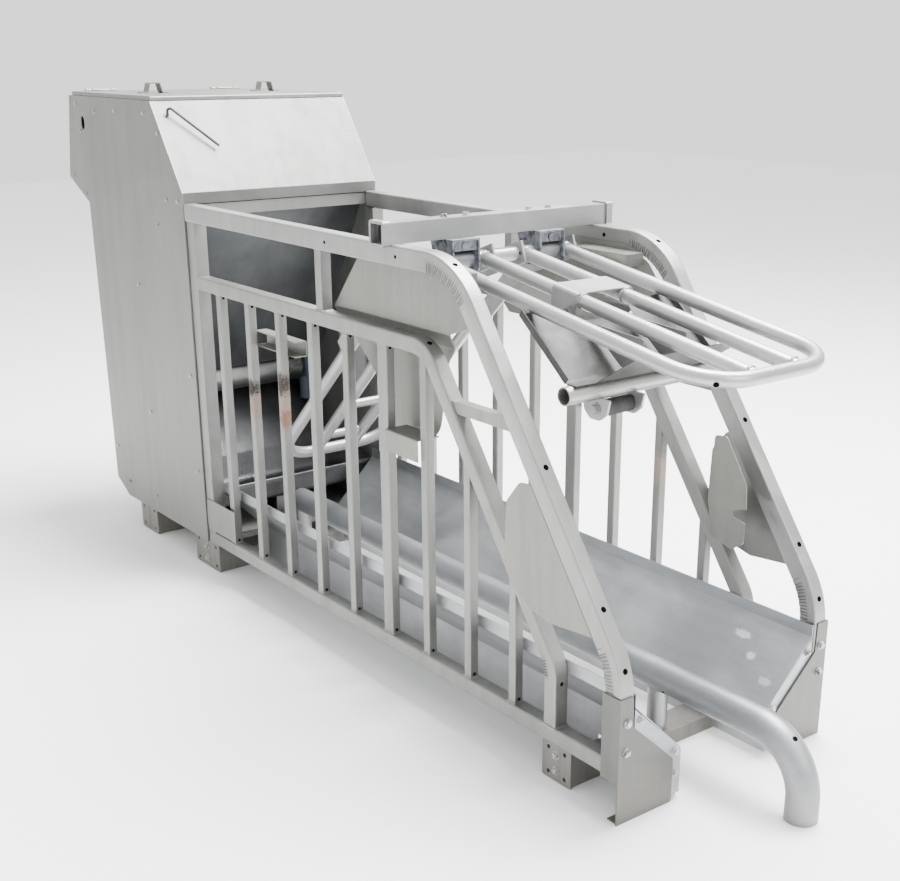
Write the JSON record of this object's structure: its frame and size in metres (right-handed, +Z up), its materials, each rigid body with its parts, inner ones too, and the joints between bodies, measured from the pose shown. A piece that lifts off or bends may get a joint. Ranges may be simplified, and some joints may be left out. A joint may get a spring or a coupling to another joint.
{
  "type": "pig feeding station",
  "caption": "Electronic pig feeding stall: barred race with anti-lie pipe, see-saw entry gate that the animal's body closes, and sheet feeder housing with hopper, dosing rotor and trough.",
  "frame": {"origin": "on the floor at the middle of the machine's length and width", "axes": "+X towards the race's entrance, +Z up, -Y the machine's left side"},
  "size_m": [3.0399, 0.73, 1.495],
  "materials": {
    "bar_tube": "silver-grey sprayed square bar, satin, rust stains in places",
    "beam_steel": "galvanised channel, dull",
    "black_plastic": "black aerial sleeve",
    "bush_steel": "plain steel bush, dull",
    "cast_zinc": "mottled blue-grey galvanised bracket",
    "electronics_plastic": "grey instrument housing",
    "frame_sheet": "warm light grey sprayed sheet, satin",
    "frame_tube": "silver-grey sprayed galvanised square tube, satin",
    "gate_pipe": "bright silver sprayed round pipe",
    "gate_sheet": "silver sprayed folded sheet",
    "hopper_steel": "dark blue-grey dull sheet",
    "housing_sheet": "silver-grey sprayed sheet with soft vertical streaks",
    "kick_sheet_steel": "bluish galvanised sheet with scuffs",
    "machined_steel": "machined steel",
    "motor_paint": "dark blue motor enamel",
    "roller_rubber": "black rubber roller",
    "rotor_plastic": "off-white feed-grade plastic",
    "trough_stainless": "dull stainless sheet",
    "zinc_fastener": "bright zinc plated hexagon heads"
  },
  "bodies": {
    "frame": {"anti_lie_pipe": "gate_pipe", "beam_end_plates": "beam_steel", "bottom_rail_left": "frame_tube", "bottom_rail_right": "frame_tube", "cheek_plate_left": "frame_sheet", "cheek_plate_right": "frame_sheet", "control_box": "electronics_plastic", "cross_bar": "frame_tube", "entry_guide_left": "frame_sheet", "entry_guide_right": "frame_sheet", "feed_trough": "trough_stainless", "foot_plate_left": "frame_sheet", "foot_plate_right": "frame_sheet", "frame_bolts": "zinc_fastener", "frame_brackets": "frame_sheet", "front_beam": "beam_steel", "front_frame": "housing_sheet", "gear_motor": "motor_paint", "hopper_walls": "hopper_steel", "housing_floor": "housing_sheet", "housing_rear": "housing_sheet", "housing_side_left": "housing_sheet", "housing_side_right": "housing_sheet", "inner_hoop_left": "frame_tube", "inner_hoop_right": "frame_tube", "kick_sheet_left": "kick_sheet_steel", "kick_sheet_right": "kick_sheet_steel", "lid_hinge_eyes": "housing_sheet", "mid_beam": "beam_steel", "outer_hoop_left": "frame_tube", "outer_hoop_right": "frame_tube", "panel_bolts": "zinc_fastener", "pipe_legs": "gate_pipe", "pivot_brackets": "cast_zinc", "pivot_bushes": "bush_steel", "rear_beam": "beam_steel", "rotor_casing": "machined_steel", "side_bars_left": "bar_tube", "side_bars_right": "bar_tube", "side_posts_left": "bar_tube", "side_posts_right": "bar_tube", "slant_cover": "housing_sheet", "tag_reader": "electronics_plastic", "top_deck": "housing_sheet", "trough_load_cell": "machined_steel", "whip_aerial": "black_plastic"},
    "gate": {"pivot_tube": "gate_pipe", "rack_frame": "gate_pipe", "rack_bars": "gate_pipe", "saddle_box": "gate_sheet", "drop_panel": "gate_sheet", "rack_gussets": "gate_sheet", "catch_tube": "gate_pipe", "catch_roller": "roller_rubber", "arm_frame": "gate_pipe", "arm_bars": "gate_pipe", "arm_lugs": "gate_sheet"},
    "lid": {"hopper_lid": "housing_sheet", "lid_fittings": "housing_sheet"},
    "rotor": {"dosing_rotor": "rotor_plastic"}
  },
  "joints": [
    {"name": "gate_swing", "type": "hinge", "parent": "frame", "child": "gate", "pos_m": [0.42, 0, 1.112], "axis": [0, 1, 0], "range_deg": [0, 38]},
    {"name": "lid_hinge", "type": "hinge", "parent": "frame", "child": "lid", "pos_m": [-1.451, 0, 1.463], "axis": [0, -1, 0], "range_deg": [0, 100]},
    {"name": "rotor_spin", "type": "hinge", "parent": "frame", "child": "rotor", "pos_m": [-1.097, 0, 0.52], "axis": [0, 1, 0], "continuous": true}
  ]
}
